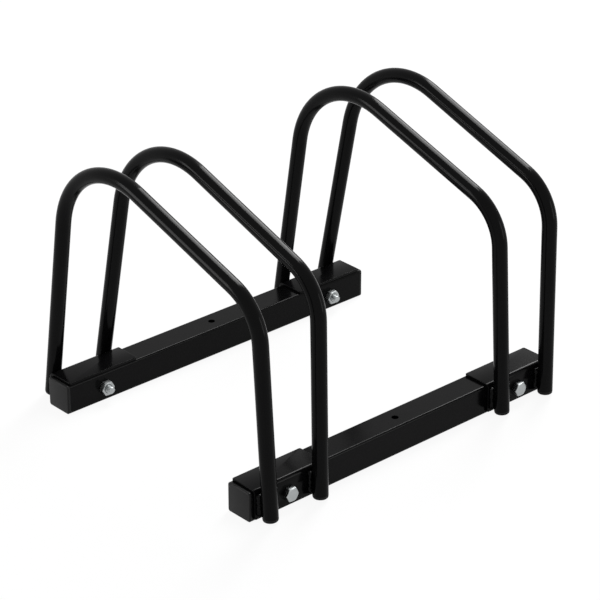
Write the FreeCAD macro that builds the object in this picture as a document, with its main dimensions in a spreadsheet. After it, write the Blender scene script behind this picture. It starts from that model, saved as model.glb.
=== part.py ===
# Floor bike rack for two bikes.
#
# Two square floor beams lie across the rack, one at the front and one at the rear. Four bent tube
# hoops stand on them in two pairs, and the gap inside a pair holds one wheel. Each pair's front
# feet are welded to one angle bracket and its rear feet to another. A bracket sits over the outer
# edge of its beam and is held by one bolt through the beam.
#
# Frame: X runs along the beams, Y from the front to the rear, Z up from the floor. The origin is
# on the floor, midway between the beams and midway between the two pairs.

import FreeCAD, Part
import Sketcher
import math
import os

Vector = FreeCAD.Vector
Rotation = FreeCAD.Rotation
Placement = FreeCAD.Placement

# Driving sizes, in millimetres and degrees.
SIZES = [
    ("BeamLength", 380.0, "cut length of a floor beam, without its end caps"),
    ("BeamSize", 30.0, "outer width and height of the square beam tube"),
    ("BeamWall", 1.5, "wall of the beam tube"),
    ("BeamCorner", 2.5, "outer corner radius of the beam tube"),
    ("BeamSpan", 266.0, "distance between the beams' centre lines"),
    ("AnchorHole", 7.0, "hole down through the middle of each beam for a floor screw"),
    ("CapFlange", 3.0, "thickness of an end cap's flange"),
    ("CapEdge", 1.0, "width of the chamfer round an end cap's outer face"),
    ("CapInsert", 13.0, "depth of the end cap's box inside the beam"),
    ("CapWall", 1.6, "wall of the end cap's box"),
    ("CapFit", 0.15, "clearance round the end cap's box"),
    ("HoopGap", 60.0, "distance between the two hoops of a pair at the floor"),
    ("SplayAngle", 1.25, "outward lean of each hoop"),
    ("TubeDiameter", 15.0, "outer diameter of the hoop tube"),
    ("TubeWall", 1.2, "wall of the hoop tube"),
    ("FrontLean", 2.5, "angle between the front leg and the upright"),
    ("RearLean", 10.5, "angle between the rear leg and the upright"),
    ("FrontCorner", 210.0, "height at which the lines of front leg and slope meet"),
    ("RearCorner", 298.0, "height at which the lines of slope and rear leg meet"),
    ("FrontBend", 50.0, "bend radius between front leg and slope"),
    ("RearBend", 88.0, "bend radius between slope and rear leg"),
    ("LegEnd", 5.5, "height at which the tube of each leg is cut"),
    ("PlugFlange", 3.6, "thickness of a foot plug below the tube"),
    ("PlugEdge", 1.3, "width of the chamfer round a foot plug's bottom"),
    ("PlugShank", 14.0, "length of the foot plug inside the tube"),
    ("PlugFit", 0.15, "clearance round the foot plug's shank"),
    ("SheetThickness", 2.5, "thickness of a bracket's sheet"),
    ("SheetBend", 1.5, "inner radius of the bracket's bend"),
    ("SheetCorner", 1.5, "width of the chamfer on the bracket's corners"),
    ("BracketMargin", 3.5, "from a leg's outer side to the bracket's end"),
    ("BracketEnd", 1.0, "from the bracket's end to the cut end of the beam"),
    ("PlateSetback", 1.0, "from the bracket's top leaf to the inner face of the beam"),
    ("LeafLift", 2.5, "from the floor to the lower edge of the bracket's outer leaf"),
    ("WeldRadius", 3.0, "radius of a weld bead"),
    ("WeldInset", 1.3, "sideways distance from the leg's outer side to the bead's axis"),
    ("WeldStandoff", 1.0, "distance from the bracket to the bead's axis"),
    ("FrontWeld", 21.0, "length of a bead beside a front leg"),
    ("RearWeld", 13.0, "length of a bead beside a rear leg"),
    ("BoltHeight", 15.0, "height of the bolts above the floor"),
    ("BoltDiameter", 8.0, "thread diameter of the bolts"),
    ("BoltEnd", 5.0, "from the nut's outer face to the bolt's end"),
    ("BoltChamfer", 0.8, "width of the chamfer on the bolt's end"),
    ("HeadHeight", 5.3, "height of a bolt's head"),
    ("NutHeight", 6.5, "height of a nut"),
    ("HexWidth", 13.0, "width across the flats of heads and nuts"),
    ("HexRim", 0.25, "from the flats of a head or nut to its round end face"),
    ("HexAngle", 30.0, "slope of the chamfer on heads and nuts"),
    ("HoleFit", 0.5, "clearance round a bolt in its holes"),
    ("ThreadFit", 0.05, "clearance between a bolt and the bore of its nut"),
]

doc = FreeCAD.newDocument("BikeRack")
sheet = doc.addObject("Spreadsheet::Sheet", "Sizes")
for row, (alias, value, meaning) in enumerate(SIZES, start=1):
    sheet.set("A%d" % row, alias)
    sheet.set("B%d" % row, str(value))
    sheet.set("C%d" % row, meaning)
    sheet.setAlias("B%d" % row, alias)
doc.recompute()


def size(alias):
    """The number that the sheet holds under this name."""
    return float(sheet.get(alias))


# Lengths that follow from the driving sizes, as expressions for the features.
BEAM_HALF = "Sizes.BeamSize / 2"
BORE_RADIUS = "(Sizes.TubeDiameter / 2 - Sizes.TubeWall)"
BOLT_HOLE_RADIUS = "(Sizes.BoltDiameter / 2 + Sizes.HoleFit)"
BOLT_LENGTH = "Sizes.SheetThickness + Sizes.BeamSize + Sizes.NutHeight + Sizes.BoltEnd"
BRACKET_LENGTH = "(Sizes.HoopGap + Sizes.TubeDiameter + 2 * Sizes.BracketMargin)"
PAIR_PLACE = "(Sizes.BeamLength - " + BRACKET_LENGTH + ") / 2 - Sizes.BracketEnd"

# The same kind of lengths as numbers, for the places of whole pieces. A pair's bracket ends just
# inside its end of the beam, and the pair's hoops and bolts are centred on the bracket.
beam_y = size("BeamSpan") / 2
beam_z = size("BeamSize") / 2
leaf_y = beam_y + beam_z + size("SheetThickness")
leaf_top = size("BeamSize") - size("SheetBend")
tube_radius = size("TubeDiameter") / 2
bracket_length = size("HoopGap") + size("TubeDiameter") + 2 * size("BracketMargin")
pair_x = (size("BeamLength") - bracket_length) / 2 - size("BracketEnd")
bolt_length = size("SheetThickness") + size("BeamSize") + size("NutHeight") + size("BoltEnd")


def origin_plane(body, role):
    """The body's own origin plane of this role."""
    for feature in body.Origin.OriginFeatures:
        if feature.Role == role:
            return feature
    raise ValueError("no origin plane " + role)


def new_body(label):
    body = doc.addObject("PartDesign::Body", label)
    body.Label = label
    return body


def new_sketch(body, name, role):
    sketch = body.newObject("Sketcher::SketchObject", name)
    sketch.AttachmentSupport = [(origin_plane(body, role), "")]
    sketch.MapMode = "FlatFace"
    return sketch


def drive(sketch, constraint, name, expression):
    """Add a dimension to the sketch and tie it to the sheet."""
    index = sketch.addConstraint(constraint)
    sketch.renameConstraint(index, name)
    sketch.setExpression("Constraints." + name, expression)


def add_circle(sketch, name, radius, radius_expression, centre_x=0.0, centre_expression=None):
    """A circle on the sketch's X axis, at its origin or at a driven distance from it."""
    circle = sketch.addGeometry(Part.Circle(Vector(centre_x, 0, 0), Vector(0, 0, 1), radius))
    if centre_expression is None:
        sketch.addConstraint(Sketcher.Constraint("Coincident", circle, 3, -1, 1))
    else:
        sketch.addConstraint(Sketcher.Constraint("PointOnObject", circle, 3, -1))
        first, second = ((-1, 1), (circle, 3)) if centre_x > 0 else ((circle, 3), (-1, 1))
        distance = Sketcher.Constraint("DistanceX", *first, *second, abs(centre_x))
        drive(sketch, distance, name + "_place", centre_expression)
    drive(sketch, Sketcher.Constraint("Radius", circle, radius), name + "_radius", radius_expression)


def add_polygon(sketch, points):
    """Closed run of straight lines through the points, level and upright ones kept so."""
    lines = []
    count = len(points)
    for index in range(count):
        start = Vector(*points[index], 0)
        end = Vector(*points[(index + 1) % count], 0)
        line = sketch.addGeometry(Part.LineSegment(start, end))
        if abs(start.y - end.y) < NEAR:
            sketch.addConstraint(Sketcher.Constraint("Horizontal", line))
        elif abs(start.x - end.x) < NEAR:
            sketch.addConstraint(Sketcher.Constraint("Vertical", line))
        lines.append(line)
    for index in range(count):
        following = lines[(index + 1) % count]
        sketch.addConstraint(Sketcher.Constraint("Coincident", lines[index], 2, following, 1))
    return lines


def add_square(sketch, name, width, expression):
    """A square centred on the sketch's origin."""
    half = width / 2
    lines = add_polygon(sketch, [(-half, -half), (half, -half), (half, half), (-half, half)])
    sketch.addConstraint(Sketcher.Constraint("Symmetric", lines[0], 1, lines[2], 1, -1, 1))
    drive(sketch, Sketcher.Constraint("DistanceX", lines[0], 1, lines[0], 2, width),
          name + "_width", expression)
    drive(sketch, Sketcher.Constraint("DistanceY", lines[1], 1, lines[1], 2, width),
          name + "_height", expression)


def pad(body, sketch, name, expression, kind="One side", reverse=False):
    feature = body.newObject("PartDesign::Pad", name)
    feature.Profile = sketch
    feature.SideType = kind
    feature.Reversed = reverse
    feature.setExpression("Length", expression)
    doc.recompute()
    return feature


def pocket(body, sketch, name, expression=None, reverse=False):
    """Cut the sketch out of the body: right through it both ways, or to a driven depth one way."""
    before = body.Shape.Volume
    feature = body.newObject("PartDesign::Pocket", name)
    feature.Profile = sketch
    if expression is None:
        feature.SideType = "Symmetric"
        feature.Type = "ThroughAll"
    else:
        feature.Reversed = reverse
        feature.setExpression("Length", expression)
    doc.recompute()
    if not body.Shape.Volume < before - LEAST_CUT:
        raise ValueError(body.Label + ": " + name + " cuts nothing")
    return feature


def edges_where(shape, test):
    """Names of the shape's edges that pass the test."""
    names = []
    for number, edge in enumerate(shape.Edges, start=1):
        if test(edge):
            names.append("Edge%d" % number)
    return names


def edges_along(shape, direction, test):
    """Names of the straight edges that run along the direction and whose middle passes the test."""

    def fits(edge):
        if edge.Curve.TypeId != "Part::GeomLine":
            return False
        start = edge.Vertexes[0].Point
        end = edge.Vertexes[-1].Point
        along = (end - start).normalize()
        return abs(abs(along.dot(direction)) - 1) < NEAR and test((start + end) * 0.5)

    return edges_where(shape, fits)


def dress_edges(body, kind, name, edges, size_property, expression):
    """Fillet or chamfer edges of the body's last feature."""
    base = body.Tip
    feature = body.newObject("PartDesign::" + kind, name)
    feature.Base = (base, edges)
    feature.setExpression(size_property, expression)
    doc.recompute()
    return feature


def round_edges(body, name, edges, expression):
    return dress_edges(body, "Fillet", name, edges, "Radius", expression)


def break_edges(body, name, edges, expression):
    return dress_edges(body, "Chamfer", name, edges, "Size", expression)


X_AXIS = Vector(1, 0, 0)
Y_AXIS = Vector(0, 1, 0)
Z_AXIS = Vector(0, 0, 1)

# Turn that carries X to Y, Y to Z and Z to X: it stands a flat sketch up in the YZ plane.
X_TO_Y_TO_Z = Rotation(Vector(1, 1, 1), 120)

# Two places or directions closer than this count as the same.
NEAR = 1e-6

# A cut that takes away less than this, in cubic millimetres, has missed its body.
LEAST_CUT = 1e-3

# Sides of the bar that stands for a weld bead.
BEAD_SIDES = 8


def make_beam(label, front_or_rear):
    """Square tube with an anchor hole down through its middle and a bolt hole at each pair."""
    body = new_body(label)
    outer = new_sketch(body, label + "_outer", "YZ_Plane")
    add_square(outer, "outer", size("BeamSize"), "Sizes.BeamSize")
    pad(body, outer, label + "_bar", "Sizes.BeamLength", kind="Symmetric")
    long_edges = edges_along(body.Shape, X_AXIS, lambda middle: True)
    round_edges(body, label + "_corners", long_edges, "Sizes.BeamCorner")

    inner = new_sketch(body, label + "_inner", "YZ_Plane")
    inner_width = size("BeamSize") - 2 * size("BeamWall")
    add_square(inner, "inner", inner_width, "Sizes.BeamSize - 2 * Sizes.BeamWall")
    pocket(body, inner, label + "_bore")
    limit = inner_width / 2 + size("BeamWall") / 4
    inside = edges_along(body.Shape, X_AXIS, lambda middle: max(abs(middle.y), abs(middle.z)) < limit)
    break_edges(body, label + "_inner_corners", inside, "(Sizes.BeamCorner - Sizes.BeamWall) / 2")

    anchor = new_sketch(body, label + "_anchor", "XY_Plane")
    add_circle(anchor, "anchor", size("AnchorHole") / 2, "Sizes.AnchorHole / 2")
    pocket(body, anchor, label + "_anchor_hole")

    bolts = new_sketch(body, label + "_bolts", "XZ_Plane")
    radius = size("BoltDiameter") / 2 + size("HoleFit")
    bolts.setExpression("AttachmentOffset.Base.y", "Sizes.BoltHeight - " + BEAM_HALF)
    add_circle(bolts, "left", radius, BOLT_HOLE_RADIUS, -pair_x, PAIR_PLACE)
    add_circle(bolts, "right", radius, BOLT_HOLE_RADIUS, pair_x, PAIR_PLACE)
    pocket(body, bolts, label + "_bolt_holes")

    body.Placement = Placement(Vector(0, front_or_rear * beam_y, beam_z), Rotation())
    return body


def make_cap(label, left_or_right, front_or_rear):
    """End cap: a flange against the cut end of the beam and a hollow box inside the beam."""
    body = new_body(label)
    flange = new_sketch(body, label + "_flange", "YZ_Plane")
    add_square(flange, "flange", size("BeamSize"), "Sizes.BeamSize")
    pad(body, flange, label + "_plate", "Sizes.CapFlange")
    flange_corners = edges_along(body.Shape, X_AXIS, lambda middle: True)
    round_edges(body, label + "_corners", flange_corners, "Sizes.BeamCorner")
    face_x = size("CapFlange")
    rim = edges_where(body.Shape, lambda edge: abs(edge.CenterOfMass.x - face_x) < NEAR)
    break_edges(body, label + "_rim", rim, "Sizes.CapEdge")

    width = size("BeamSize") - 2 * size("BeamWall") - 2 * size("CapFit")
    width_expression = "Sizes.BeamSize - 2 * Sizes.BeamWall - 2 * Sizes.CapFit"
    box = new_sketch(body, label + "_box", "YZ_Plane")
    add_square(box, "box", width, width_expression)
    add_square(box, "hollow", width - 2 * size("CapWall"), width_expression + " - 2 * Sizes.CapWall")
    pad(body, box, label + "_insert", "Sizes.CapInsert", reverse=True)
    limit = (width - size("CapWall")) / 2
    outside = edges_along(
        body.Shape, X_AXIS, lambda middle: middle.x < 0 and min(abs(middle.y), abs(middle.z)) > limit
    )
    break_edges(body, label + "_insert_corners", outside, "Sizes.BeamCorner - Sizes.BeamWall")

    turn = Rotation() if left_or_right > 0 else Rotation(Z_AXIS, 180)
    end_x = left_or_right * size("BeamLength") / 2
    body.Placement = Placement(Vector(end_x, front_or_rear * beam_y, beam_z), turn)
    return body


def leg_y(lean, height):
    """Distance from the rack's middle to a leg's axis at this height.

    The leg touches the bracket's outer leaf where the leaf's flat part ends, just below the bend,
    and from there it runs down and away from the leaf."""
    touch = leaf_y + tube_radius / math.cos(math.radians(lean))
    return touch + (leaf_top - height) * math.tan(math.radians(lean))


# The same distance at floor level as an expression, for the hoop's path.
def leg_foot_expression(lean_alias):
    face = "Sizes.BeamSpan / 2 + Sizes.BeamSize / 2 + Sizes.SheetThickness"
    touch = "Sizes.TubeDiameter / 2 / cos(Sizes.%s * 1 deg)" % lean_alias
    drop = "(Sizes.BeamSize - Sizes.SheetBend - Sizes.LegEnd) * tan(Sizes.%s * 1 deg)" % lean_alias
    return face + " + " + touch + " + " + drop


def hoop_corners():
    """Cut ends and corner points of the hoop's path, before its bends are rounded."""
    front = size("FrontLean")
    rear = size("RearLean")
    end = size("LegEnd")
    return [
        Vector(-leg_y(front, end), end, 0),
        Vector(-leg_y(front, size("FrontCorner")), size("FrontCorner"), 0),
        Vector(leg_y(rear, size("RearCorner")), size("RearCorner"), 0),
        Vector(leg_y(rear, end), end, 0),
    ]


def bend_at(before, corner, after, radius):
    """Start, middle and end of the arc that rounds a corner, and its centre."""
    to_before = (before - corner).normalize()
    to_after = (after - corner).normalize()
    half = to_before.getAngle(to_after) / 2
    reach = radius / math.tan(half)
    centre = corner + (to_before + to_after).normalize() * (radius / math.sin(half))
    middle = centre + (corner - centre).normalize() * radius
    return corner + to_before * reach, middle, corner + to_after * reach


def draw_hoop_path(sketch):
    """Front leg, front bend, slope, rear bend and rear leg as one tangent run."""
    foot, front_corner, rear_corner, toe = hoop_corners()
    front = bend_at(foot, front_corner, rear_corner, size("FrontBend"))
    rear = bend_at(front_corner, rear_corner, toe, size("RearBend"))
    front_leg = sketch.addGeometry(Part.LineSegment(foot, front[0]))
    front_arc = sketch.addGeometry(Part.Arc(*front))
    slope = sketch.addGeometry(Part.LineSegment(front[2], rear[0]))
    rear_arc = sketch.addGeometry(Part.Arc(*rear))
    rear_leg = sketch.addGeometry(Part.LineSegment(rear[2], toe))

    # Both bends turn clockwise seen along +X, so an arc's own start is at its rear end.
    sketch.addConstraint(Sketcher.Constraint("Tangent", front_leg, 2, front_arc, 2))
    sketch.addConstraint(Sketcher.Constraint("Tangent", front_arc, 1, slope, 1))
    sketch.addConstraint(Sketcher.Constraint("Tangent", slope, 2, rear_arc, 2))
    sketch.addConstraint(Sketcher.Constraint("Tangent", rear_arc, 1, rear_leg, 1))

    corners = []
    for corner, first, second in ((front_corner, front_leg, slope), (rear_corner, slope, rear_leg)):
        point = sketch.addGeometry(Part.Point(corner), True)
        sketch.addConstraint(Sketcher.Constraint("PointOnObject", point, 1, first))
        sketch.addConstraint(Sketcher.Constraint("PointOnObject", point, 1, second))
        corners.append(point)

    origin = (-1, 1)
    drive(sketch, Sketcher.Constraint("DistanceX", front_leg, 1, *origin, -foot.x),
          "front_foot", leg_foot_expression("FrontLean"))
    drive(sketch, Sketcher.Constraint("DistanceX", *origin, rear_leg, 2, toe.x),
          "rear_foot", leg_foot_expression("RearLean"))
    drive(sketch, Sketcher.Constraint("DistanceY", *origin, front_leg, 1, foot.y),
          "front_end", "Sizes.LegEnd")
    drive(sketch, Sketcher.Constraint("DistanceY", *origin, rear_leg, 2, toe.y),
          "rear_end", "Sizes.LegEnd")
    drive(sketch, Sketcher.Constraint("DistanceY", *origin, corners[0], 1, front_corner.y),
          "front_corner", "Sizes.FrontCorner")
    drive(sketch, Sketcher.Constraint("DistanceY", *origin, corners[1], 1, rear_corner.y),
          "rear_corner", "Sizes.RearCorner")
    front_angle = math.radians(90 - size("FrontLean"))
    drive(sketch, Sketcher.Constraint("Angle", -1, 1, front_leg, 1, front_angle),
          "front_lean", "90 deg - Sizes.FrontLean * 1 deg")
    rear_angle = math.radians(-90 + size("RearLean"))
    drive(sketch, Sketcher.Constraint("Angle", -1, 1, rear_leg, 1, rear_angle),
          "rear_lean", "-90 deg + Sizes.RearLean * 1 deg")
    drive(sketch, Sketcher.Constraint("Radius", front_arc, size("FrontBend")),
          "front_bend", "Sizes.FrontBend")
    drive(sketch, Sketcher.Constraint("Radius", rear_arc, size("RearBend")),
          "rear_bend", "Sizes.RearBend")


def hoop_place(left_or_right, outer_or_inner):
    """Place of a hoop: upright plane through its feet, tipped outwards from its pair's middle."""
    away = left_or_right * outer_or_inner
    foot_x = left_or_right * pair_x + away * size("HoopGap") / 2
    return Placement(Vector(foot_x, 0, 0), Rotation(Y_AXIS, away * size("SplayAngle")))


def sweep_disc(run, radius):
    """Solid rod of this radius along the run."""
    first = run.OrderedEdges[0]
    start = run.OrderedVertexes[0].Point
    along = first.tangentAt(first.FirstParameter)
    disc = Part.Face(Part.Wire(Part.Circle(start, along, radius).toShape()))
    return run.makePipe(disc)


def make_hoop(label, place):
    """Bent round tube, open at both cut ends: the path's sketch, swept with the tube's section."""
    path = doc.addObject("Sketcher::SketchObject", label + "_path")
    path.Placement = Placement(Vector(0, 0, 0), X_TO_Y_TO_Z)
    draw_hoop_path(path)
    doc.recompute()
    run = Part.Wire(Part.__sortEdges__(path.Shape.Edges))
    rod = sweep_disc(run, tube_radius)
    bore = sweep_disc(run, tube_radius - size("TubeWall"))
    hoop = doc.addObject("Part::Feature", label)
    hoop.Label = label
    hoop.Shape = rod.cut(bore)
    hoop.Placement = place
    return hoop


def leg_end_place(front_or_rear):
    """Place of a leg's cut end in its hoop, with Z up along the leg."""
    lean = size("FrontLean") if front_or_rear < 0 else size("RearLean")
    end = size("LegEnd")
    return Placement(Vector(0, front_or_rear * leg_y(lean, end), end), Rotation(X_AXIS, front_or_rear * lean))


def make_foot(label, place):
    """Turned plastic plug: a flange as wide as the tube below it and a shank inside it."""
    body = new_body(label)
    sketch = new_sketch(body, label + "_profile", "XZ_Plane")
    radius = tube_radius
    shank = radius - size("TubeWall") - size("PlugFit")
    depth = size("PlugFlange")
    length = size("PlugShank")
    points = [(0, -depth), (radius, -depth), (radius, 0), (shank, 0), (shank, length), (0, length)]
    lines = add_polygon(sketch, points)
    sketch.addConstraint(Sketcher.Constraint("PointOnObject", lines[0], 1, -2))
    sketch.addConstraint(Sketcher.Constraint("PointOnObject", lines[2], 1, -1))
    drive(sketch, Sketcher.Constraint("DistanceX", lines[0], 1, lines[0], 2, radius),
          "flange_radius", "Sizes.TubeDiameter / 2")
    drive(sketch, Sketcher.Constraint("DistanceY", lines[1], 1, lines[1], 2, depth),
          "flange", "Sizes.PlugFlange")
    drive(sketch, Sketcher.Constraint("DistanceX", lines[4], 2, lines[4], 1, shank),
          "shank_radius", BORE_RADIUS + " - Sizes.PlugFit")
    drive(sketch, Sketcher.Constraint("DistanceY", lines[3], 1, lines[3], 2, length),
          "shank", "Sizes.PlugShank")
    turned = body.newObject("PartDesign::Revolution", label + "_turned")
    turned.Profile = sketch
    turned.ReferenceAxis = (sketch, ["V_Axis"])
    doc.recompute()
    bottom = edges_where(
        body.Shape,
        lambda edge: edge.Curve.TypeId == "Part::GeomCircle" and abs(edge.CenterOfMass.z + depth) < NEAR,
    )
    break_edges(body, label + "_bottom", bottom, "Sizes.PlugEdge")
    body.Placement = place
    return body


def make_bracket(label, left_or_right, front_or_rear):
    """Angle bracket: one leaf on the beam's top, one on its outer face, with the bolt's hole."""
    body = new_body(label)
    half = size("BeamSize") / 2
    thick = size("SheetThickness")
    inner_end = half - size("PlateSetback")
    leaf_low = size("LeafLift") - half
    points = [
        (inner_end, half), (inner_end, half + thick), (-half - thick, half + thick),
        (-half - thick, leaf_low), (-half, leaf_low), (-half, half),
    ]
    sketch = new_sketch(body, label + "_profile", "YZ_Plane")
    lines = add_polygon(sketch, points)
    origin = (-1, 1)
    drive(sketch, Sketcher.Constraint("DistanceY", *origin, lines[5], 1, half), "seat_height", BEAM_HALF)
    drive(sketch, Sketcher.Constraint("DistanceX", lines[5], 1, *origin, half), "seat_face", BEAM_HALF)
    drive(sketch, Sketcher.Constraint("DistanceY", lines[0], 1, lines[0], 2, thick),
          "top_leaf", "Sizes.SheetThickness")
    drive(sketch, Sketcher.Constraint("DistanceX", lines[3], 1, lines[3], 2, thick),
          "side_leaf", "Sizes.SheetThickness")
    drive(sketch, Sketcher.Constraint("DistanceX", *origin, lines[0], 1, inner_end),
          "inner_end", BEAM_HALF + " - Sizes.PlateSetback")
    drive(sketch, Sketcher.Constraint("DistanceY", lines[3], 1, *origin, -leaf_low),
          "leaf_low", BEAM_HALF + " - Sizes.LeafLift")
    pad(body, sketch, label + "_angle", BRACKET_LENGTH, kind="Symmetric")

    outer = edges_along(body.Shape, X_AXIS, lambda middle: middle.y < -half - thick / 2 and middle.z > half)
    round_edges(body, label + "_outer_bend", outer, "Sizes.SheetBend + Sizes.SheetThickness")
    inner = edges_along(
        body.Shape, X_AXIS, lambda middle: abs(middle.y + half) < NEAR and abs(middle.z - half) < NEAR
    )
    round_edges(body, label + "_inner_bend", inner, "Sizes.SheetBend")
    top_corners = edges_along(body.Shape, Z_AXIS, lambda middle: middle.y > 0)
    leaf_corners = edges_along(body.Shape, Y_AXIS, lambda middle: middle.z < 0)
    break_edges(body, label + "_corners", top_corners + leaf_corners, "Sizes.SheetCorner")

    hole = new_sketch(body, label + "_hole", "XZ_Plane")
    hole.setExpression("AttachmentOffset.Base.y", "Sizes.BoltHeight - " + BEAM_HALF)
    add_circle(hole, "hole", size("BoltDiameter") / 2 + size("HoleFit"), BOLT_HOLE_RADIUS)
    pocket(body, hole, label + "_bolt_hole")

    turn = Rotation() if front_or_rear < 0 else Rotation(Z_AXIS, 180)
    body.Placement = Placement(Vector(left_or_right * pair_x, front_or_rear * beam_y, beam_z), turn)
    return body


def make_weld(label, place, front_or_rear):
    """The two beads of one leg: bars in the notches beside the leg, cut by leg and bracket."""
    length_alias = "FrontWeld" if front_or_rear < 0 else "RearWeld"
    length = size(length_alias)
    offset = tube_radius - size("WeldInset")
    bars = []
    for side in (-1, 1):
        bar = doc.addObject("Part::Prism", label + ("_left_bar" if side < 0 else "_right_bar"))
        bar.Polygon = BEAD_SIDES
        bar.setExpression("Circumradius", "Sizes.WeldRadius")
        bar.setExpression("Height", "Sizes." + length_alias)
        axis_y = front_or_rear * (leaf_y + size("WeldStandoff"))
        foot = Vector(side * offset, axis_y, leaf_top - length)
        bar.Placement = place.multiply(Placement(foot, Rotation()))
        bars.append(bar)

    # What cuts the bars: the leg's full round and a block that stands where bracket and beam are.
    # Both reach well past the bars' ends.
    leg = doc.addObject("Part::Cylinder", label + "_leg")
    leg.setExpression("Radius", "Sizes.TubeDiameter / 2")
    leg.setExpression("Height", "2 * Sizes.BeamSize")
    below = Placement(Vector(0, 0, -size("BeamSize") / 2), Rotation())
    leg.Placement = place.multiply(leg_end_place(front_or_rear)).multiply(below)

    leaf = doc.addObject("Part::Box", label + "_leaf")
    leaf.setExpression("Length", "2 * Sizes.HoopGap")
    leaf.setExpression("Width", "Sizes.BeamSize")
    leaf.setExpression("Height", "3 * Sizes.BeamSize")
    inside = -leaf_y if front_or_rear < 0 else leaf_y - size("BeamSize")
    corner = Vector(-size("HoopGap"), inside, -size("BeamSize"))
    leaf.Placement = place.multiply(Placement(corner, Rotation()))

    both = doc.addObject("Part::MultiFuse", label + "_bars")
    both.Shapes = bars
    steel = doc.addObject("Part::MultiFuse", label + "_steel")
    steel.Shapes = [leg, leaf]
    beads = doc.addObject("Part::Cut", label)
    beads.Base = both
    beads.Tool = steel
    beads.Label = label
    doc.recompute()
    return beads


def draw_hexagon(sketch, name):
    """A hexagon with two level sides, sized across its flats."""
    half = size("HexWidth") / 2
    corner = half / math.cos(math.radians(30))
    lines = []
    points = []
    for step in range(6):
        angle = math.radians(60 * step)
        points.append(Vector(corner * math.cos(angle), corner * math.sin(angle), 0))
    for step in range(6):
        lines.append(sketch.addGeometry(Part.LineSegment(points[step], points[(step + 1) % 6])))
    rim = sketch.addGeometry(Part.Circle(Vector(0, 0, 0), Vector(0, 0, 1), corner), True)
    sketch.addConstraint(Sketcher.Constraint("Coincident", rim, 3, -1, 1))
    for step in range(6):
        sketch.addConstraint(Sketcher.Constraint("Coincident", lines[step], 2, lines[(step + 1) % 6], 1))
        sketch.addConstraint(Sketcher.Constraint("PointOnObject", lines[step], 1, rim))
    for step in range(1, 6):
        sketch.addConstraint(Sketcher.Constraint("Equal", lines[0], lines[step]))
    sketch.addConstraint(Sketcher.Constraint("PointOnObject", lines[0], 1, -1))
    drive(sketch, Sketcher.Constraint("Radius", rim, corner),
          name + "_corner", "Sizes.HexWidth / 2 / cos(30 deg)")


def finish_hexagon(body, name, height_alias, outwards):
    """Groove that leaves a round face on the hexagon's end, which lies above or below its sketch."""
    before = body.Shape.Volume
    width = size("HexWidth")
    face = width / 2 - size("HexRim")
    fall = (width - face) * math.tan(math.radians(size("HexAngle")))
    top = outwards * size(height_alias)
    sketch = new_sketch(body, name + "_profile", "XZ_Plane")
    lines = add_polygon(sketch, [(face, top), (width, top), (width, top - outwards * fall)])
    origin = (-1, 1)
    drive(sketch, Sketcher.Constraint("DistanceX", *origin, lines[0], 1, face),
          "face_radius", "Sizes.HexWidth / 2 - Sizes.HexRim")
    drive(sketch, Sketcher.Constraint("DistanceX", *origin, lines[0], 2, width), "reach", "Sizes.HexWidth")
    low, high = (origin, (lines[0], 1)) if outwards > 0 else ((lines[0], 1), origin)
    drive(sketch, Sketcher.Constraint("DistanceY", *low, *high, abs(top)), "height", "Sizes." + height_alias)
    low, high = ((lines[1], 2), (lines[1], 1)) if outwards > 0 else ((lines[1], 1), (lines[1], 2))
    drive(sketch, Sketcher.Constraint("DistanceY", *low, *high, fall),
          "fall", "(Sizes.HexWidth / 2 + Sizes.HexRim) * tan(Sizes.HexAngle * 1 deg)")
    groove = body.newObject("PartDesign::Groove", name)
    groove.Profile = sketch
    groove.ReferenceAxis = (sketch, ["V_Axis"])
    doc.recompute()
    if not body.Shape.Volume < before - LEAST_CUT:
        raise ValueError(name + " cuts nothing")


def fastener_place(left_or_right, front_or_rear, distance):
    """Place at a pair's bolt axis, Z pointing out of the rack, at this distance from its middle."""
    out = Rotation(Z_AXIS, Vector(0, front_or_rear, 0))
    return Placement(Vector(left_or_right * pair_x, front_or_rear * distance, size("BoltHeight")), out)


def make_bolt(label, left_or_right, front_or_rear):
    """Hexagon bolt: head on the bracket, shank through bracket and beam."""
    body = new_body(label)
    head = new_sketch(body, label + "_hexagon", "XY_Plane")
    draw_hexagon(head, "head")
    pad(body, head, label + "_head", "Sizes.HeadHeight")
    finish_hexagon(body, label + "_head_chamfer", "HeadHeight", 1)
    shank = new_sketch(body, label + "_circle", "XY_Plane")
    add_circle(shank, "shank", size("BoltDiameter") / 2, "Sizes.BoltDiameter / 2")
    pad(body, shank, label + "_shank", BOLT_LENGTH, reverse=True)
    end = edges_where(body.Shape, lambda edge: abs(edge.CenterOfMass.z + bolt_length) < NEAR)
    break_edges(body, label + "_end", end, "Sizes.BoltChamfer")
    body.Placement = fastener_place(left_or_right, front_or_rear, leaf_y)
    return body


def make_nut(label, left_or_right, front_or_rear):
    """Hexagon nut against the inner face of the beam."""
    body = new_body(label)
    sketch = new_sketch(body, label + "_hexagon", "XY_Plane")
    draw_hexagon(sketch, "nut")
    pad(body, sketch, label + "_block", "Sizes.NutHeight", reverse=True)
    finish_hexagon(body, label + "_chamfer", "NutHeight", -1)
    bore = new_sketch(body, label + "_bore", "XY_Plane")
    radius = size("BoltDiameter") / 2 + size("ThreadFit")
    add_circle(bore, "bore", radius, "Sizes.BoltDiameter / 2 + Sizes.ThreadFit")
    pocket(body, bore, label + "_hole")
    body.Placement = fastener_place(left_or_right, front_or_rear, beam_y - beam_z)
    return body


SIDES = [("left", -1), ("right", 1)]
ENDS = [("front", -1), ("rear", 1)]
HOOPS = [("outer", 1), ("inner", -1)]

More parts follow.
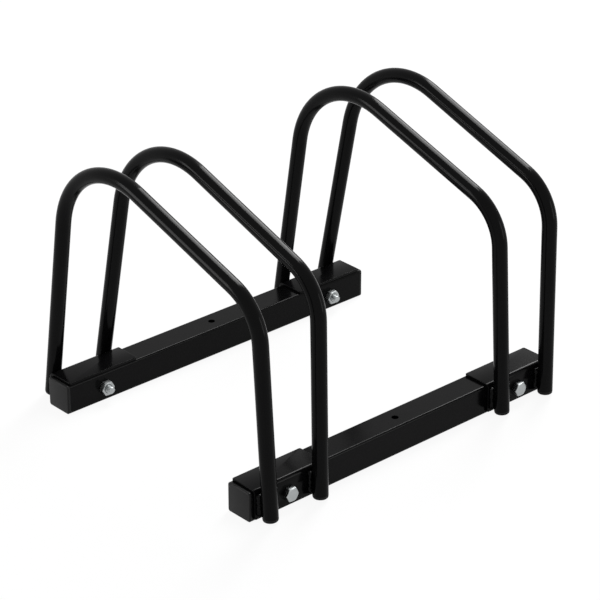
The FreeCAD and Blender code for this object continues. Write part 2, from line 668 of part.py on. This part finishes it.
pieces = []
for end_name, end_sign in ENDS:
    pieces.append(make_beam(end_name + "_beam", end_sign))
    for side_name, side_sign in SIDES:
        corner_name = end_name + "_" + side_name
        pieces.append(make_cap(corner_name + "_cap", side_sign, end_sign))
        pieces.append(make_bracket(corner_name + "_bracket", side_sign, end_sign))
        pieces.append(make_bolt(corner_name + "_bolt", side_sign, end_sign))
        pieces.append(make_nut(corner_name + "_nut", side_sign, end_sign))

for side_name, side_sign in SIDES:
    for hoop_name, hoop_sign in HOOPS:
        name = side_name + "_" + hoop_name
        place = hoop_place(side_sign, hoop_sign)
        pieces.append(make_hoop(name + "_hoop", place))
        for end_name, end_sign in ENDS:
            foot_place = place.multiply(leg_end_place(end_sign))
            pieces.append(make_foot(name + "_" + end_name + "_foot", foot_place))
            pieces.append(make_weld(name + "_" + end_name + "_weld", place, end_sign))

doc.recompute()
for item in doc.Objects:
    if "Invalid" in item.State or "Error" in item.State:
        raise ValueError(item.Label + " failed: " + str(item.State))
for piece in pieces:
    if piece.Shape.isNull() or not piece.Shape.isValid():
        raise ValueError(piece.Label + " has no valid shape")

os.makedirs("parts", exist_ok=True)
for piece in pieces:
    piece.Shape.exportStep("parts/" + piece.Label + ".step")
    box = piece.Shape.BoundBox
    print("%-28s solids %d  volume %9.1f mm3  X %.1f..%.1f  Y %.1f..%.1f  Z %.1f..%.1f" % (
        piece.Label, len(piece.Shape.Solids), piece.Shape.Volume,
        box.XMin, box.XMax, box.YMin, box.YMax, box.ZMin, box.ZMax))
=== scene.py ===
# %% [markdown]
# # A floor bike rack, dressed for its picture
# The rack is two square steel beams on the floor, four bent tube hoops that stand on them in two
# pairs, four angle brackets that the hoops are welded to, and small parts: end caps, foot plugs,
# bolts and nuts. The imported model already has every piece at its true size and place. This lesson
# keeps the beams and hoops as they are and gives them a finish. It rebuilds the small pieces with
# the roundings, threads and weld ripples that a camera sees.

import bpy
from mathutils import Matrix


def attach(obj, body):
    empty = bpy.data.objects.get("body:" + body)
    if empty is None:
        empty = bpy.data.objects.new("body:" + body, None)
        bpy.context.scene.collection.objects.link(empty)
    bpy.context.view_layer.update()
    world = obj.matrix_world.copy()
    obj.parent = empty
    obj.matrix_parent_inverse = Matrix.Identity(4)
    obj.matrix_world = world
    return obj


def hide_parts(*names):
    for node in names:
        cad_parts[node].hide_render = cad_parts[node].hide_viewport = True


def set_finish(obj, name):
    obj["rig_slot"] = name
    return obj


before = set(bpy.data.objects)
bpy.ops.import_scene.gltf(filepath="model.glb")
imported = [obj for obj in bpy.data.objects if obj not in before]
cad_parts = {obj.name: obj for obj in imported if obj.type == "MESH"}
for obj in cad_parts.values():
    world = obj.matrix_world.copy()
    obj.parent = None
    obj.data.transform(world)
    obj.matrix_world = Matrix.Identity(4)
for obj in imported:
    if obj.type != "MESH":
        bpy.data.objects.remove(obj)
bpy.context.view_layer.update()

# %% Tools for this lesson
import math

import bmesh
import bpy
from mathutils import Matrix, Vector

MM = 0.001
FRONT, REAR = -1, 1
LEFT, RIGHT = -1, 1
ENDS = {"front": FRONT, "rear": REAR}
SIDES = {"left": LEFT, "right": RIGHT}
HOOPS = {"outer": 1, "inner": -1}

# %% [markdown]
# ## Sizes of the rack
# A new piece has to sit exactly on the steel that carries it, so it needs the same few lengths as
# the construction. They are written once here, in millimetres and degrees, and each piece is
# placed from them.

# %% Sizes of the rack
BEAM = 30.0
BEAM_WALL = 1.5
BEAM_CORNER = 2.5
BEAM_END = 190.0
BEAM_Y = 133.0
PAIR_X = 148.0
FOOT_GAP = 60.0
SPLAY = 1.25
TUBE = 7.5
TUBE_WALL = 1.2
LEG_END = 5.5
LEAN = {FRONT: 2.5, REAR: 10.5}
SHEET = 2.5
SHEET_BEND = 4.0
BRACKET = 82.0
LEAF_Y = 150.5
LEAF_TOP = 28.5
BOLT_Z = 15.0
print("rack sizes in millimetres: beams", BEAM, "tubes", 2 * TUBE, "brackets", BRACKET)

# %% [markdown]
# ## Working by hand, in code
# Blender's edit operators act on what is selected. By hand that is a click; here it is a test on
# the place of a corner, an edge or a face. Three small helpers do what the hands do: put a
# primitive on the bench, pick parts of it by place, and put the finished piece away.


# %% Helpers for modelling
def clear_selection():
    bpy.ops.object.select_all(action="DESELECT")


def on_bench(name):
    """Take the primitive that was just added, make its place part of its mesh, and open it."""
    piece = bpy.context.object
    piece.name = name
    piece.data.name = name
    bpy.ops.object.transform_apply(location=True, rotation=True, scale=True)
    bpy.ops.object.mode_set(mode="EDIT")
    return piece


def pick(piece, kind, test):
    """Select the corners, edges or faces of the open piece whose middle passes the test."""
    bpy.ops.mesh.select_mode(type=kind)
    bpy.ops.mesh.select_all(action="DESELECT")
    shape = bmesh.from_edit_mesh(piece.data)
    items = {"VERT": shape.verts, "EDGE": shape.edges, "FACE": shape.faces}[kind]
    found = 0
    for item in items:
        corners = [item] if kind == "VERT" else item.verts
        middle = sum((corner.co for corner in corners), Vector()) / len(corners)
        if test(middle / MM):
            item.select_set(True)
            found += 1
    shape.select_flush_mode()
    bmesh.update_edit_mesh(piece.data)
    return found


def close_piece():
    bpy.ops.object.mode_set(mode="OBJECT")


def near(value, target, reach=0.01):
    return abs(value - target) < reach


def face_outwards(piece):
    """Merge doubles and turn every face of a closed piece outwards."""
    bpy.context.view_layer.objects.active = piece
    bpy.ops.object.mode_set(mode="EDIT")
    bpy.ops.mesh.select_all(action="SELECT")
    bpy.ops.mesh.remove_doubles(threshold=0.001 * MM)
    bpy.ops.mesh.normals_make_consistent(inside=False)
    bpy.ops.object.mode_set(mode="OBJECT")


def apply_modifier(piece, kind, **settings):
    """Add a modifier to the piece and apply it at once."""
    modifier = piece.modifiers.new(kind.lower(), kind)
    for name, value in settings.items():
        setattr(modifier, name, value)
    clear_selection()
    piece.select_set(True)
    bpy.context.view_layer.objects.active = piece
    bpy.ops.object.modifier_apply(modifier=modifier.name)


def combine(piece, tool, operation):
    """Cut the piece with another one, or keep what both share. The tool is used up."""
    apply_modifier(piece, "BOOLEAN", object=tool, operation=operation, solver="EXACT")
    bpy.data.objects.remove(tool)


def shade_smooth(piece, angle):
    """Shade the piece smooth, apart from edges that are sharper than the angle in degrees."""
    clear_selection()
    piece.select_set(True)
    bpy.context.view_layer.objects.active = piece
    bpy.ops.object.shade_smooth_by_angle(angle=math.radians(angle))


def soften(piece, width, angle=35.0, segments=2):
    """Round the sharp edges a little, so that they catch the light, and shade the rest smooth."""
    limit = math.radians(angle)
    apply_modifier(
        piece, "BEVEL", width=width * MM, segments=segments, limit_method="ANGLE", angle_limit=limit
    )
    shade_smooth(piece, angle)


def copy_to(piece, name, place):
    """A copy with its own mesh, moved there in its mesh, so that its object stays at the origin."""
    copy = piece.copy()
    copy.data = piece.data.copy()
    copy.name = name
    copy.data.name = name
    copy.data.transform(place)
    bpy.context.scene.collection.objects.link(copy)
    return copy


def scrap(*pieces):
    for piece in pieces:
        bpy.data.objects.remove(piece)


# %% [markdown]
# ## A turned piece
# Plugs, bolt shanks and cutting tools are round. By hand they are made from a disc that is
# extruded from height to height and widened or narrowed on the way, like wood on a lathe. A list
# of radius and height says the whole shape.


# %% Turn a round piece
def turned(name, profile, sides=48):
    """Round piece about Z from pairs of radius and height, in millimetres, from its first end."""
    radius, height = profile[0]
    clear_selection()
    bpy.ops.mesh.primitive_circle_add(
        vertices=sides, radius=radius * MM, fill_type="NGON", location=(0, 0, height * MM)
    )
    piece = on_bench(name)
    bpy.ops.mesh.select_all(action="SELECT")
    for next_radius, next_height in profile[1:]:
        step = (0, 0, (next_height - height) * MM)
        bpy.ops.mesh.extrude_region_move(TRANSFORM_OT_translate={"value": step})
        share = next_radius / radius
        bpy.ops.transform.resize(value=(share, share, 1), center_override=(0, 0, 0))
        radius, height = next_radius, next_height
    close_piece()
    face_outwards(piece)
    return piece


# %% [markdown]
# ## Foot plugs
# Each leg ends in a black plastic plug. Below the tube it shows a thin ring, a groove and then a
# rounded bottom that stands on the floor. The shank inside the tube holds it. One plug is turned
# with the leg's cut end at height zero, and the eight legs get a copy each.

# %% Turn one foot plug
PLUG_FIT = 0.15
PLUG_SHANK = TUBE - TUBE_WALL - PLUG_FIT
plug_profile = [
    (PLUG_SHANK - 0.8, 14.0),
    (PLUG_SHANK, 13.0),
    (PLUG_SHANK, 0.0),
    (TUBE - 0.25, 0.0),
    (TUBE, -0.2),
    (TUBE, -0.85),
    (TUBE - 0.2, -1.05),
    (TUBE - 0.55, -1.1),
    (TUBE - 0.55, -1.4),
    (TUBE - 0.15, -1.5),
    (TUBE - 0.15, -2.0),
    (TUBE - 0.35, -2.6),
    (TUBE - 0.85, -3.15),
    (TUBE - 1.6, -3.5),
    (TUBE - 2.6, -3.6),
]
plug = turned("plug_pattern", plug_profile)
soften(plug, 0.08, angle=40.0, segments=1)
print("foot plug faces", len(plug.data.polygons))


# %% [markdown]
# ## End caps
# A cap closes each end of a beam. Outside there is a square flange with rounded edges that lies
# against the cut end, and its edge toward the tube is rounded too, which leaves the thin dark
# line between plastic and steel. Inside the tube a hollow box holds it. The flange starts as a
# cube; the box is extruded from an inset of its inner face and hollowed by a second inset.

# %% Shape one end cap, right end, on the X axis
CAP_FLANGE = 3.0
CAP_DEPTH = 13.0
CAP_WALL = 1.6
CAP_FIT = 0.15
CAP_ROUNDING = 1.1
clear_selection()
bpy.ops.mesh.primitive_cube_add(size=1, location=(CAP_FLANGE / 2 * MM, 0, 0))
bpy.context.object.scale = (CAP_FLANGE * MM, BEAM * MM, BEAM * MM)
cap = on_bench("cap_pattern")
pick(cap, "EDGE", lambda middle: near(abs(middle.y), BEAM / 2) and near(abs(middle.z), BEAM / 2))
bpy.ops.mesh.bevel(offset=BEAM_CORNER * MM, segments=5, affect="EDGES")
pick(cap, "FACE", lambda middle: near(middle.x, 0.0))
bpy.ops.mesh.inset(thickness=(BEAM_WALL + CAP_FIT) * MM)
bpy.ops.mesh.extrude_region_move(TRANSFORM_OT_translate={"value": (-CAP_DEPTH * MM, 0, 0)})
bpy.ops.mesh.inset(thickness=CAP_WALL * MM)
bpy.ops.mesh.extrude_region_move(TRANSFORM_OT_translate={"value": (CAP_DEPTH * MM, 0, 0)})
pick(cap, "EDGE", lambda middle: near(middle.x, CAP_FLANGE))
bpy.ops.mesh.bevel(offset=CAP_ROUNDING * MM, segments=4, affect="EDGES")
close_piece()
soften(cap, 0.25)
print("end cap faces", len(cap.data.polygons))

# %% [markdown]
# ## Angle brackets
# A bracket is one piece of sheet steel, bent once. The bend is what the eye sees: a bright line
# runs along it. It is made as the sheet is: a flat plane, spun a quarter turn about the bend's
# axis and extruded down, then given its thickness. The corners are rounded, the bolt hole is cut,
# and every cut edge is softened as paint softens it.

# %% Bend one front bracket
TOP_Z = BEAM + SHEET
TOP_INNER = BEAM_Y - BEAM / 2 + 1.0
LEAF_LOW = 2.5
SHEET_CORNER = 1.6
BOLT_HOLE = 4.5
bend_y = LEAF_Y - SHEET_BEND
clear_selection()
bpy.ops.mesh.primitive_plane_add(size=1, location=(0, -(TOP_INNER + bend_y) / 2 * MM, TOP_Z * MM))
bpy.context.object.scale = (BRACKET * MM, (bend_y - TOP_INNER) * MM, 1)
bracket = on_bench("bracket_pattern")
pick(bracket, "EDGE", lambda middle: near(middle.y, -bend_y))
bpy.ops.mesh.spin(
    steps=8,
    angle=-math.pi / 2,
    center=(0, -bend_y * MM, LEAF_TOP * MM),
    axis=(1, 0, 0),
)
bpy.ops.mesh.extrude_region_move(TRANSFORM_OT_translate={"value": (0, 0, (LEAF_LOW - LEAF_TOP) * MM)})
pick(bracket, "VERT", lambda middle: near(middle.y, -TOP_INNER) or near(middle.z, LEAF_LOW))
bpy.ops.mesh.bevel(offset=SHEET_CORNER * MM, segments=3, affect="VERTICES")
close_piece()
apply_modifier(bracket, "SOLIDIFY", thickness=SHEET * MM, offset=-1.0, use_even_offset=True)
face_outwards(bracket)
drill = turned("drill", [(BOLT_HOLE, -10.0), (BOLT_HOLE, 10.0)])
lay_flat = Matrix.Rotation(math.pi / 2, 4, "X")
drill.data.transform(Matrix.Translation((0, -LEAF_Y * MM, BOLT_Z * MM)) @ lay_flat)
combine(bracket, drill, "DIFFERENCE")
soften(bracket, 0.3, segments=3)

# %% [markdown]
# ## Bolts and nuts
# A hexagon bar becomes a bolt head when its end is turned to a cone: the flats keep curved upper
# edges. The same happens here. A six-sided cylinder is kept only where it meets a turned billet
# with a sloping rim. The thread is a small triangle carried round and up by the Screw modifier,
# as a die cuts it, and laid on a core of the root's width.

# %% Helpers for hexagons and threads
ACROSS_FLATS = 13.0
HEX_CORNER = ACROSS_FLATS / 2 / math.cos(math.pi / 6)


def hexagon(name, low_z, high_z, billet_profile):
    """Six-sided bar between two heights, with its ends turned to the billet's slopes."""
    clear_selection()
    bpy.ops.mesh.primitive_cylinder_add(
        vertices=6,
        radius=HEX_CORNER * MM,
        depth=(high_z - low_z) * MM,
        location=(0, 0, (low_z + high_z) / 2 * MM),
        rotation=(0, 0, math.pi / 6),
    )
    bar = on_bench(name)
    close_piece()
    combine(bar, turned("billet", billet_profile, sides=48), "INTERSECT")
    return bar


def thread(name, radius, pitch, start, turns):
    """Helical ridge: a triangle carried round and up from a start height."""
    depth = 0.6 * pitch
    clear_selection()
    bpy.ops.mesh.primitive_circle_add(
        vertices=3,
        radius=depth * MM,
        location=((radius - depth) * MM, 0, start * MM),
        rotation=(math.pi / 2, math.pi / 2, 0),
    )
    ridge = on_bench(name)
    bpy.ops.mesh.select_all(action="SELECT")
    stretch = 0.9 * pitch / (depth * math.sqrt(3))
    bpy.ops.transform.resize(value=(1, 1, stretch), center_override=(0, 0, start * MM))
    close_piece()
    apply_modifier(
        ridge, "SCREW", axis="Z", screw_offset=pitch * MM, iterations=turns, steps=24, render_steps=24
    )
    bpy.ops.object.mode_set(mode="EDIT")
    bpy.ops.mesh.select_all(action="SELECT")
    bpy.ops.mesh.fill_holes(sides=4)
    bpy.ops.object.mode_set(mode="OBJECT")
    face_outwards(ridge)
    return ridge


# %% Model one bolt, its head's underside at height zero
HEAD = 5.3
BOLT_LENGTH = 44.0
PITCH = 1.25
billet = [(9.0, -1.0), (9.0, HEAD - 1.55), (4.9, HEAD + 0.5)]
bolt = hexagon("bolt_pattern", 0.0, HEAD, billet)
soften(bolt, 0.1, angle=25.0)
THREAD_START = -BOLT_LENGTH + 0.9
shank = turned(
    "bolt_shank",
    [(3.0, -BOLT_LENGTH), (3.35, -BOLT_LENGTH + 0.7), (3.35, -30.0), (3.95, -29.4), (3.95, 0.05)],
)
soften(shank, 0.1, angle=25.0)
ridge = thread("bolt_thread", 4.0, PITCH, THREAD_START, 10)
shade_smooth(ridge, 35.0)
clear_selection()
for part in (shank, ridge, bolt):
    part.select_set(True)
bpy.context.view_layer.objects.active = bolt
bpy.ops.object.join()
print("bolt faces", len(bolt.data.polygons))

# %% Model one nut, its outer face at height zero and the rest below
NUT = 6.5
CHAMFER = 1.2
nut_billet = [(5.2, -NUT - 0.6), (8.2, -NUT + CHAMFER), (8.2, -CHAMFER), (5.2, 0.6)]
nut = hexagon("nut_pattern", -NUT, 0.0, nut_billet)
mouth = turned("mouth", [(5.0, -NUT - 0.5), (3.7, -NUT + 0.8), (3.7, -0.8), (5.0, 0.5)])
combine(nut, mouth, "DIFFERENCE")
soften(nut, 0.1, angle=25.0)
print("nut faces", len(nut.data.polygons))

# %% [markdown]
# ## Weld beads
# Where a leg meets its bracket the welder left two upright beads, one at each side of the tube.
# A bead is a row of overlapping scales with an uneven edge. It is built as it is laid: a disc is
# extruded in short steps that swell and shrink, and a noise displacement, which differs from leg
# to leg, takes the machine look away. The leg's own cylinder is then cut out of it.

# %% Lay one bead
SCALE_STEP = 1.75
BEAD = 2.75


def lay_bead(name, low_z, high_z):
    """An upright bead on the Z axis: rounded ends, and a swell for each scale of the weld."""
    count = round((high_z - low_z) / SCALE_STEP)
    step = (high_z - low_z) / count
    profile = [(BEAD * 0.45, low_z), (BEAD * 0.8, low_z + step * 0.3)]
    for scale in range(count):
        start = low_z + scale * step
        if scale > 0:
            profile.append((BEAD * 0.84, start))
        profile.append((BEAD, start + step * 0.35))
        profile.append((BEAD * 0.98, start + step * 0.7))
    profile.append((BEAD * 0.8, high_z - step * 0.1))
    profile.append((BEAD * 0.45, high_z))
    return turned(name, profile, sides=20)


beads = {FRONT: lay_bead("front_bead", 7.5, 28.5), REAR: lay_bead("rear_bead", 15.5, 28.5)}
print("bead faces", {end: len(bead.data.polygons) for end, bead in beads.items()})


# %% [markdown]
# ## Where each piece goes
# The construction leans the hoops: each one is tipped a little outwards about Y, and its legs
# lean in the hoop's own plane. The same turns, as matrices, carry the plugs and beads. A bolt
# points out of the rack, and the rear pieces are the front ones turned half round.


# %% Places
def shift(x, y, z):
    return Matrix.Translation((x * MM, y * MM, z * MM))


def turn(degrees, axis):
    return Matrix.Rotation(math.radians(degrees), 4, axis)


def hoop_place(side, hoop):
    away = side * hoop
    return shift(side * PAIR_X + away * FOOT_GAP / 2, 0, 0) @ turn(away * SPLAY, "Y")


def leg_place(end):
    lean = LEAN[end]
    out = LEAF_Y + TUBE / math.cos(math.radians(lean))
    out += (LEAF_TOP - LEG_END) * math.tan(math.radians(lean))
    return shift(0, end * out, LEG_END) @ turn(end * lean, "X")


def half_turn(end):
    return turn(180 if end == REAR else 0, "Z")


def out_of_rack(end):
    return turn(-90 * end, "X")


new_pieces = {}


def install(piece, node, body_slot):
    """Put a finished piece in place of its node."""
    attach(piece, "root")
    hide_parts(node)
    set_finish(piece, body_slot)
    new_pieces[node] = piece


# %% Caps, brackets, bolts and nuts at the four corners of the rack
for end_name, end in ENDS.items():
    for side_name, side in SIDES.items():
        corner = end_name + "_" + side_name
        face = shift(side * BEAM_END, end * BEAM_Y, BEAM / 2) @ turn(180 if side == LEFT else 0, "Z")
        install(copy_to(cap, corner + "_end_cap", face), corner + "_cap", "black_plastic")
        seat = shift(side * PAIR_X, 0, 0) @ half_turn(end)
        install(copy_to(bracket, corner + "_angle", seat), corner + "_bracket", "black_powder_coat")
        head = shift(side * PAIR_X, end * LEAF_Y, BOLT_Z) @ out_of_rack(end)
        install(copy_to(bolt, corner + "_hex_bolt", head), corner + "_bolt", "zinc_plated_steel")
        inner = shift(side * PAIR_X, end * (BEAM_Y - BEAM / 2), BOLT_Z) @ out_of_rack(end)
        install(copy_to(nut, corner + "_hex_nut", inner), corner + "_nut", "zinc_plated_steel")
scrap(cap, bracket, bolt, nut)

# %% Plugs and weld beads at the eight legs
BEAD_INSET = 1.3
BEAD_STANDOFF = 1.0
LUMP_SIZE = 2.8
LUMP_HEIGHT = 1.5
LUMP_LEVEL = 0.55
lumps = bpy.data.textures.new("weld_lumps", "CLOUDS")
lumps.noise_scale = LUMP_SIZE * MM
lumps.noise_depth = 2
leg_tool = turned("leg_tool", [(TUBE - 0.15, -10.0), (TUBE - 0.15, 60.0)], sides=64)
for side_name, side in SIDES.items():
    for hoop_name, hoop in HOOPS.items():
        for end_name, end in ENDS.items():
            leg = side_name + "_" + hoop_name + "_" + end_name
            place = hoop_place(side, hoop)
            foot = copy_to(plug, leg + "_plug", place @ leg_place(end))
            install(foot, leg + "_foot", "black_plastic")
            pair = []
            for across in (-1, 1):
                axis = shift(across * (TUBE - BEAD_INSET), end * (LEAF_Y + BEAD_STANDOFF), 0)
                lean_out = turn(across * 1.0, "Y")
                pair.append(copy_to(beads[end], leg + "_bead", place @ axis @ lean_out))
            clear_selection()
            for bead in pair:
                bead.select_set(True)
            bpy.context.view_layer.objects.active = pair[0]
            bpy.ops.object.join()
            weld = pair[0]
            weld.name = leg + "_beads"
            apply_modifier(weld, "SUBSURF", levels=1, render_levels=1)
            reach = LUMP_HEIGHT * MM
            apply_modifier(weld, "DISPLACE", texture=lumps, strength=reach, mid_level=LUMP_LEVEL)
            cut = copy_to(leg_tool, "leg_cut", place @ leg_place(end))
            combine(weld, cut, "DIFFERENCE")
            shade_smooth(weld, 50.0)
            install(weld, leg + "_weld", "black_powder_coat")
scrap(plug, leg_tool, *beads.values())
print("new pieces", len(new_pieces))

# %% [markdown]
# ## Finishes as formulas
# A finish is a formula of place: how rough, how dark, how bumpy at each point. Blender writes
# formulas as nodes and wires. The class below wraps one wire, so that ordinary arithmetic in
# Python adds the Math nodes, and its method called node adds any other kind.


# %% A wire that can be calculated with
class Wire:
    """An output socket of a material's node tree."""

    def __init__(self, tree, socket=None):
        self.tree = tree
        self.socket = socket

    def node(self, kind, settings=None, values=None, output=0):
        """Add a node: its settings first, then the numbers or wires of its inputs."""
        node = self.tree.nodes.new(kind)
        for name, value in (settings or {}).items():
            setattr(node, name, value)
        for name, value in (values or {}).items():
            if isinstance(value, Wire):
                self.tree.links.new(value.socket, node.inputs[name])
            else:
                node.inputs[name].default_value = value
        return Wire(self.tree, node.outputs[output])

    def math(self, operation, first, second):
        return self.node("ShaderNodeMath", {"operation": operation}, {0: first, 1: second})

    def __add__(self, other):
        return self.math("ADD", self, other)

    def __radd__(self, other):
        return self.math("ADD", other, self)

    def __mul__(self, other):
        return self.math("MULTIPLY", self, other)

    def __rmul__(self, other):
        return self.math("MULTIPLY", other, self)


def new_finish(name):
    """An empty material and a first wire to work from."""
    material = bpy.data.materials.new(name)
    material.use_nodes = True
    material.node_tree.nodes.clear()
    return material, Wire(material.node_tree)


def grain(bench, place, size, detail=2.0):
    """Cloudy noise from 0 to 1 whose lumps are about this many millimetres wide."""
    values = {"Vector": place, "Scale": 1.0 / (size * MM), "Detail": detail, "Roughness": 0.5}
    return bench.node("ShaderNodeTexNoise", {}, values, "Fac")


def blend_colour(bench, share, first, second):
    """Colour between two colours."""
    node_settings = {"data_type": "RGBA", "clamp_factor": True}
    values = {"Factor": share}
    mixed = bench.node("ShaderNodeMix", node_settings, values, 2)
    mixed.socket.node.inputs[6].default_value = first
    mixed.socket.node.inputs[7].default_value = second
    return mixed


def finish_material(bench, **values):
    """Connect the Principled shader with these values to the material's output."""
    named = {name.replace("_", " "): value for name, value in values.items()}
    shader = bench.node("ShaderNodeBsdfPrincipled", {}, named)
    output = bench.tree.nodes.new("ShaderNodeOutputMaterial")
    bench.tree.links.new(shader.socket, output.inputs["Surface"])


# %% [markdown]
# ## Black powder coat
# The steel is coated with baked powder: deep black and glossy, but never flat. Under a lamp it
# shows a fine orange peel, and its gloss changes a little from place to place. The base colour
# stays very dark and the light comes from reflections: a weak gloss of the powder itself and a
# thin clear skin over it. Welds get the same coat with deeper bumps.

# %% Powder coat
GLOSS_LEVEL = 0.025
SKIN_SHARE = 0.075
SKIN_ROUGHNESS = 0.14


def powder_coat(name, peel_depth, lump_depth):
    material, bench = new_finish(name)
    place = bench.node("ShaderNodeTexCoord", {}, {}, "Object")
    peel = grain(bench, place, 0.9, 2.0)
    swell = grain(bench, place, 14.0, 1.0)
    haze = grain(bench, place, 32.0, 4.0)
    speck = grain(bench, place, 0.5, 1.0)
    rough = 0.12 + haze * 0.1 + speck * 0.03
    colour = blend_colour(bench, haze, (0.0013, 0.0013, 0.0015, 1.0), (0.0028, 0.0027, 0.0028, 1.0))
    height = peel * peel_depth + swell * lump_depth
    bump = bench.node("ShaderNodeBump", {}, {"Strength": 1.0, "Distance": 1.0 * MM, "Height": height}, 0)
    finish_material(
        bench,
        Base_Color=colour,
        Roughness=rough,
        Normal=bump,
        Specular_IOR_Level=GLOSS_LEVEL,
        Coat_Weight=SKIN_SHARE,
        Coat_Roughness=SKIN_ROUGHNESS,
    )
    return material


coat = powder_coat("black_powder_coat", 0.003, 0.08)
weld_coat = powder_coat("black_powder_coat_on_welds", 0.04, 0.10)

# %% [markdown]
# ## Black plastic
# Caps and plugs are moulded. Their black is a little greyer than the coat and their gloss is
# broader, because the mould's wall has a fine grain.

# %% Plastic
plastic, bench = new_finish("black_plastic")
place = bench.node("ShaderNodeTexCoord", {}, {}, "Object")
mould = grain(bench, place, 0.35, 3.0)
flow = grain(bench, place, 9.0, 3.0)
bump = bench.node("ShaderNodeBump", {}, {"Strength": 0.6, "Distance": 0.03 * MM, "Height": mould}, 0)
colour = blend_colour(bench, flow, (0.006, 0.006, 0.0063, 1.0), (0.0095, 0.0094, 0.0095, 1.0))
finish_material(
    bench, Base_Color=colour, Roughness=0.3 + flow * 0.12, Normal=bump, Specular_IOR_Level=0.12
)

# %% [markdown]
# ## Zinc plate
# The bolts and nuts are zinc plated: pale, slightly blue metal with a soft, uneven shine and
# faint clouds from the plating bath.

# %% Zinc
zinc, bench = new_finish("zinc_plated_steel")
place = bench.node("ShaderNodeTexCoord", {}, {}, "Object")
cloud = grain(bench, place, 3.0, 4.0)
pit = grain(bench, place, 0.3, 3.0)
bump = bench.node("ShaderNodeBump", {}, {"Strength": 0.5, "Distance": 0.03 * MM, "Height": pit}, 0)
colour = blend_colour(bench, cloud, (0.30, 0.32, 0.325, 1.0), (0.44, 0.455, 0.455, 1.0))
finish_material(
    bench, Base_Color=colour, Roughness=0.26 + cloud * 0.2, Metallic=1.0, Normal=bump
)

# %% Put the finishes on
finish_of_slot = {"black_plastic": plastic, "zinc_plated_steel": zinc, "black_powder_coat": coat}
for node, piece in new_pieces.items():
    piece.data.materials.clear()
    piece.data.materials.append(weld_coat if node.endswith("_weld") else finish_of_slot[piece["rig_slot"]])
for name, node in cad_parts.items():
    if name not in new_pieces:
        for material_slot in node.material_slots:
            material_slot.material = coat
print("kept from the frame", sorted(set(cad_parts) - set(new_pieces)))

# %% [markdown]
# ## Floor, light and camera
# The rack stands on a plain white floor. The camera sees that floor nearly as pure white, with
# only a share of the shadow left, and glossy surfaces see the same floor. The sky is white to
# the camera and to gloss too, while the light it sheds on all else has its own, lower level.
# Black gloss shows the lamps more than it shows itself, so the lamps are long soft boxes: one at
# the left, one at the right and one above and behind, which draws the bright line along the
# tubes' upper sides.

# %% Floor
WHITE = (1.0, 1.0, 1.0, 1.0)
FLOOR_SIZE = 24.0
FLOOR_GLOW = 0.92


def seen_directly(bench):
    """One for rays from the camera, off gloss and through glass, and zero for all others."""
    path = bench.node("ShaderNodeLightPath", {}, {}, "Is Camera Ray")
    light_path = path.socket.node
    seen = path + Wire(bench.tree, light_path.outputs["Is Glossy Ray"])
    return seen + Wire(bench.tree, light_path.outputs["Is Transmission Ray"])


clear_selection()
bpy.ops.mesh.primitive_plane_add(size=1, location=(0, 0, 0))
bpy.context.object.scale = (FLOOR_SIZE, FLOOR_SIZE, 1.0)
floor = on_bench("studio_floor")
close_piece()
floor_finish, bench = new_finish("studio_floor")
seen = seen_directly(bench)
painted = bench.node("ShaderNodeBsdfDiffuse", {}, {"Color": (0.9, 0.9, 0.9, 1.0)})
glow = bench.node("ShaderNodeEmission", {}, {"Color": WHITE, "Strength": 1.0})
surface = bench.node("ShaderNodeMixShader", {}, {0: seen * FLOOR_GLOW, 1: painted, 2: glow})
output = bench.tree.nodes.new("ShaderNodeOutputMaterial")
bench.tree.links.new(surface.socket, output.inputs["Surface"])
floor.data.materials.append(floor_finish)

# %% World and soft boxes
world = bpy.data.worlds.new("studio")
bpy.context.scene.world = world
world.use_nodes = True
SKY_LIGHT = 0.42
seen = seen_directly(Wire(world.node_tree))
strength = SKY_LIGHT + seen * (1.0 - SKY_LIGHT)
background = world.node_tree.nodes["Background"]
background.inputs["Color"].default_value = WHITE
world.node_tree.links.new(strength.socket, background.inputs["Strength"])


def soft_box(name, where, towards, width, height, power):
    """Rectangular lamp that faces a point."""
    bpy.ops.object.light_add(type="AREA", location=where)
    lamp = bpy.context.object
    lamp.name = name
    lamp.data.shape = "RECTANGLE"
    lamp.data.size = width
    lamp.data.size_y = height
    lamp.data.energy = power
    lamp.rotation_euler = (Vector(towards) - Vector(where)).to_track_quat("-Z", "Y").to_euler()
    return lamp


MIDDLE = (0.0, 0.0, 0.12)
soft_box("left_box", (-2.1, 1.2, 0.55), MIDDLE, 0.8, 1.1, 22.0)
soft_box("right_box", (1.2, -2.0, 0.6), MIDDLE, 0.6, 1.1, 7.0)
soft_box("back_box", (1.5, 0.6, 2.1), MIDDLE, 0.7, 2.4, 88.0)

# %% Camera
LOOK_DOWN = 26.564
LOOK_RIGHT = 41.935
bpy.ops.object.camera_add(
    location=(-1.4545, -1.6191, 1.1914),
    rotation=(math.radians(90 - LOOK_DOWN), 0, math.radians(-LOOK_RIGHT)),
)
camera = bpy.context.object
camera.name = "studio_camera"
camera.data.sensor_width = 36.0
camera.data.lens = 152.47
camera.data.clip_end = 50.0
bpy.context.scene.camera = camera
bpy.context.scene.view_settings.view_transform = "Standard"
